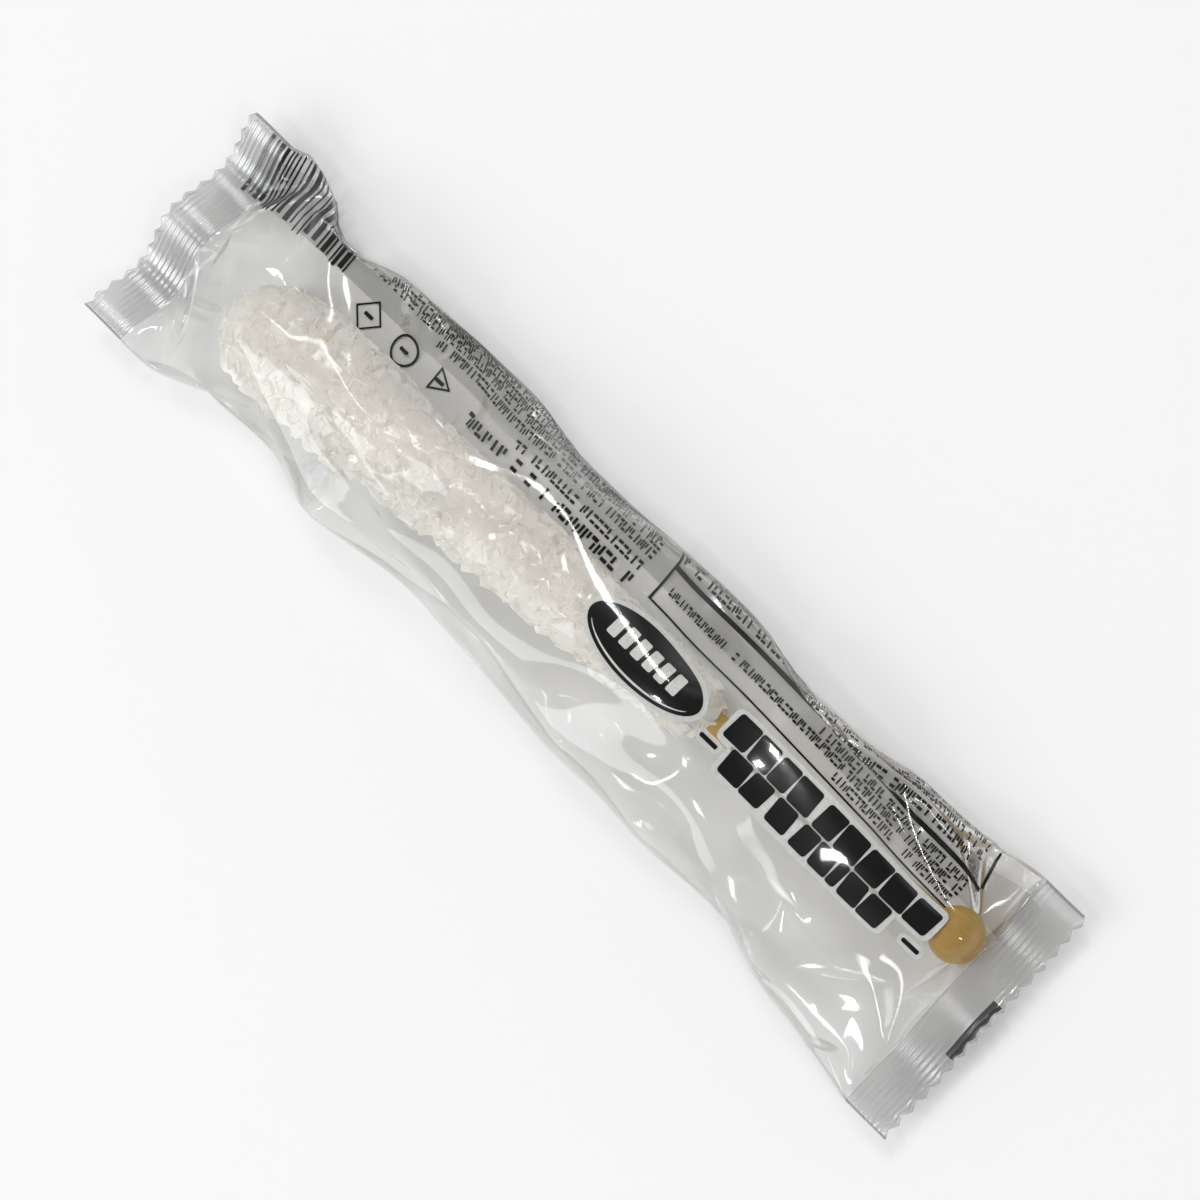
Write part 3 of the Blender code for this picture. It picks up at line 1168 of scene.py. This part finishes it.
inner, outer = [[(BADGE[0] + CRESCENT_REACH * math.cos(a), BADGE[1] + depth * math.sin(a))
                 for a in crescent_turn] for depth in CRESCENT_DEPTHS]
marks += [[inner[k], outer[k], outer[k + 1], inner[k + 1]] for k in range(len(outer) - 1)]
lay("front_print", front, INK_DEPTH, black_ink)
lay("badge_marks", marks, INK_DEPTH / 2, pale_ink)
lay("front_backing", backing, INK_DEPTH * 2, pale_ink)
EYE_MARK = box(205.2, 16.9, 207.2, 28.8)
lay("eye_mark", [EYE_MARK], INK_DEPTH * 0.8, black_ink)

# %% [markdown]
# The back carries the dull print: a striped panel, three small signs, rows of fine print and a
# framed table. It shows through the front, on the side of the pack that leans towards the eye.

# %% Back print
back_print = []
draw = np.random.default_rng(5)
PANEL_START, PANEL_END = 5.5, 31
place = PANEL_START
while place < PANEL_END:
    width = draw.choice((0.35, 0.35, 0.7, 1.0))
    back_print.append(box(place, 49.6, place + width, 61.4 + 1.2 * draw.random()))
    place += width + draw.choice((0.35, 0.5, 0.8))
SIGN_LINE = 0.35
SIGN_LEVEL = 64.3
for middle_u, reach, points in ((40.1, 3.2, 4), (49.5, 2.9, 24), (58.0, 2.7, 3)):
    hollow = reach - SIGN_LINE * (2.0 if points == 3 else 1.4)
    inner = oval(middle_u, SIGN_LEVEL, hollow, hollow, points)
    back_print += band(inner, oval(middle_u, SIGN_LEVEL, reach, reach, points))
    back_print.append(round_box(middle_u, SIGN_LEVEL, 2.0, 0.7, 0.2))
back_print += tick_row(66.8, 109.8, 65.2, 2.3, pitch=1.75, gaps=0.16)
back_print += tick_row(77.0, 109.4, 62.2, 1.7, pitch=1.25, gaps=0.10)
for start, end, middle, height in (
        (53.0, 109.2, 59.4, 1.6), (35.6, 109.0, 57.5, 1.4), (40.0, 108.0, 56.2, 1.5),
        (35.0, 109.2, 54.6, 1.4), (38.0, 104.0, 53.0, 1.4), (60.0, 109.0, 51.2, 1.3)):
    back_print += tick_row(start, end, middle, height)
TABLE_LEFT, TABLE_RIGHT, TABLE_FOOT = 112.0, 189.0, 65.0
LINE = 0.35
back_print.append(box(TABLE_LEFT, 49.6, TABLE_LEFT + 0.5, TABLE_FOOT))
back_print.append(box(TABLE_LEFT + 0.5, TABLE_FOOT - LINE, TABLE_RIGHT, TABLE_FOOT))
back_print.append(box(TABLE_RIGHT, 49.6, TABLE_RIGHT + 0.6, 57.2))
back_print.append(box(TABLE_LEFT + 0.5, 57.4, TABLE_RIGHT, 58.3))
for start, end, middle, height in (
        (113.5, 187.5, 55.6, 1.9), (113.5, 187.5, 53.0, 1.5), (113.5, 187.5, 50.9, 1.4),
        (150.0, 187.0, 59.6, 1.5), (113.8, 186.5, 61.4, 1.5), (157.0, 186.3, 63.3, 1.5)):
    back_print += tick_row(start, end, middle, height)
lay("back_print", back_print, INK_DEPTH, black_ink)

# %% [markdown]
# ## Fin seal
#
# A flow wrapper makes its tube from a flat web, and welds the web's two edges into a fin that
# lies folded flat along the back. It is a strip of the same film just outside the back panel.

# %% Fin
FIN = (6.0, 53.0, 201.0, 62.0)
FIN_GAP = 0.06
lay("fin", [box(*FIN)], -FIN_GAP, film.data.materials[0])

# %% [markdown]
# ## Floor, light and world
#
# The pack lies on a plain pale floor. Broad soft light comes from everywhere, as in a light
# tent, and a few compact lamps give the film its sharp bright lines.

# %% Floor
FLOOR_COLOR = (0.93, 0.925, 0.93, 1)
FLOOR_HALF = 1.5
floor_mesh = bpy.data.meshes.new("floor")
floor_mesh.from_pydata([(-FLOOR_HALF, -FLOOR_HALF, 0), (FLOOR_HALF, -FLOOR_HALF, 0),
                        (FLOOR_HALF, FLOOR_HALF, 0), (-FLOOR_HALF, FLOOR_HALF, 0)],
                       [], [(0, 1, 2, 3)])
floor = bpy.data.objects.new("floor", floor_mesh)
floor_material, tree = new_material("floor")
tree.add("ShaderNodeOutputMaterial", inputs={"Surface": tree.add(
    "ShaderNodeBsdfPrincipled", inputs={"Base Color": FLOOR_COLOR, "Roughness": 0.9,
                                        "Specular IOR Level": 0.0})})
floor_mesh.materials.append(floor_material)
bpy.context.scene.collection.objects.link(floor)
print(f"the floor is {2 * FLOOR_HALF:.0f} m wide")

# %% Lamps and world
def lamp(name, direction, distance, size, power):
    """A square lamp that faces the pack from a direction."""
    light = bpy.data.lights.new(name, "AREA")
    light.shape = "RECTANGLE"
    light.size, light.size_y = size
    light.energy = power
    made = bpy.data.objects.new(name, light)
    made.location = Vector(direction).normalized() * distance
    made.rotation_euler = made.location.to_track_quat("Z", "Y").to_euler()
    bpy.context.scene.collection.objects.link(made)
    return made


lamp("key_lamp", (-0.5, 0.8, 1.3), 1.4, (0.08, 0.45), 3.0)
lamp("side_lamp", (0.1, -1.0, 1.0), 1.4, (0.07, 0.5), 1.6)
lamp("arc_lamp", (-0.56, 0.32, 0.76), 1.4, (0.05, 0.35), 1.0)
window = lamp("window_lamp", (-0.35, -0.72, 0.6), 1.5, (0.65, 0.65), 5.5)
window.data.color = (0.92, 0.97, 1.0)
lamp("end_lamp", (1.0, 0.2, 1.2), 1.5, (0.10, 0.30), 2.5)
lamp("top_lamp", (-0.15, -0.35, 1.4), 1.4, (0.07, 0.12), 1.5)
fill = lamp("fill_lamp", (0, 0, 1), 1.6, (2.0, 2.0), 8.8)
fill.visible_glossy = False
world = bpy.data.worlds.new("studio")
world.use_nodes = True
tree = Tree(world.node_tree)
height = tree.add("ShaderNodeSeparateXYZ", inputs={0: tree.add("ShaderNodeTexCoord")}).output("Z")
glow = tree.add("ShaderNodeValToRGB", {"stops": ((0.22, grey(0.95)), (0.70, grey(0.07)))}, {0: height})
tree.add("ShaderNodeOutputWorld", inputs={"Surface": tree.add(
    "ShaderNodeBackground", inputs={"Color": glow, "Strength": 1.0})})
bpy.context.scene.world = world
bpy.context.scene.view_settings.view_transform = "Standard"
bpy.context.scene.cycles.transparent_max_bounces = 16
bpy.context.scene.cycles.max_bounces = 8
